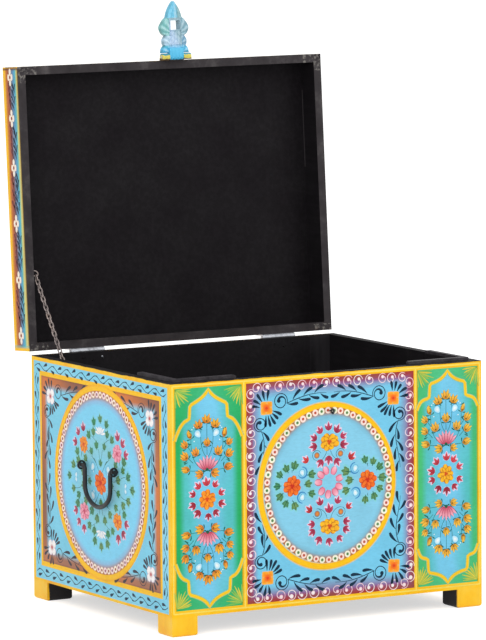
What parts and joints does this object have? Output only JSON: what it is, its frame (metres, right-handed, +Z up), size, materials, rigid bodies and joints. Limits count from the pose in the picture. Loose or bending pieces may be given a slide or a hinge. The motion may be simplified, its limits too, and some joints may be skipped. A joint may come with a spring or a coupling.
{
  "type": "wooden storage chest",
  "caption": "Painted wooden chest on block feet with a hinged lid held open by a chain, iron bail handles and a carved wooden hasp.",
  "frame": {"origin": "on the floor under the middle of the open chest's bounding box; the box itself is centred 33.6 mm in front of it", "axes": "+Z up, the front faces -Y, +X to the right as seen from the front"},
  "size_m": [0.528, 0.4957, 0.8429],
  "materials": {
    "painted_wood": "hand-painted gloss enamel outside, satin black inside",
    "yellow_wood": "yellow gloss enamel",
    "blue_wood": "light blue gloss enamel, worn",
    "black_wood": "satin black",
    "black_iron": "blackened",
    "plain_steel": "dull",
    "chain_steel": "dull, browned"
  },
  "bodies": {
    "carcass": {"back_panel": "painted_wood", "bottom_board": "black_wood", "bottom_nails": "plain_steel", "box_hinge_screws_left": "plain_steel", "box_hinge_screws_right": "plain_steel", "chain": "chain_steel", "chain_eye_box": "chain_steel", "foot_front_left": "yellow_wood", "foot_front_right": "yellow_wood", "foot_rear_left": "yellow_wood", "foot_rear_right": "yellow_wood", "foot_screws": "plain_steel", "front_catch": "black_iron", "front_panel": "painted_wood", "handle_eyes_left": "black_iron", "handle_eyes_right": "black_iron", "hinge_box_leaf_left": "plain_steel", "hinge_box_leaf_right": "plain_steel", "hinge_pin_left": "plain_steel", "hinge_pin_right": "plain_steel", "left_front_batten": "black_wood", "left_side_batten": "black_wood", "left_side_panel": "painted_wood", "right_front_batten": "black_wood", "right_side_batten": "black_wood", "right_side_panel": "painted_wood", "wall_nails": "plain_steel"},
    "lid": {"chain_eye_lid": "chain_steel", "hasp_block": "yellow_wood", "hasp_block_nails": "plain_steel", "hasp_pin": "plain_steel", "hinge_lid_leaf_left": "plain_steel", "hinge_lid_leaf_right": "plain_steel", "lid_end_nails": "plain_steel", "lid_front_rail": "painted_wood", "lid_hinge_screws_left": "plain_steel", "lid_hinge_screws_right": "plain_steel", "lid_left_rail": "painted_wood", "lid_rear_rail": "painted_wood", "lid_right_rail": "painted_wood", "lid_top_board": "painted_wood", "lid_top_nails": "plain_steel"},
    "hasp": {"hasp": "blue_wood"},
    "left_bail": {"handle_bail_left": "black_iron"},
    "right_bail": {"handle_bail_right": "black_iron"}
  },
  "joints": [
    {"name": "lid_hinge", "type": "hinge", "parent": "carcass", "child": "lid", "pos_m": [0, 0.17294, 0.3495], "axis": [1, 0, 0], "range_deg": [0, 94], "deforming": ["chain"]},
    {"name": "hasp_swing", "type": "hinge", "parent": "lid", "child": "hasp", "pos_m": [0.0025, 0.19334, 0.76308], "axis": [1, 0, 0], "range_deg": [0, 90]},
    {"name": "left_bail_swing", "type": "hinge", "parent": "carcass", "child": "left_bail", "pos_m": [-0.2572, -0.03856, 0.211], "axis": [0, 1, 0], "range_deg": [-3.5, 183.5]},
    {"name": "right_bail_swing", "type": "hinge", "parent": "carcass", "child": "right_bail", "pos_m": [0.2572, -0.03856, 0.211], "axis": [0, -1, 0], "range_deg": [-3.5, 183.5]}
  ]
}
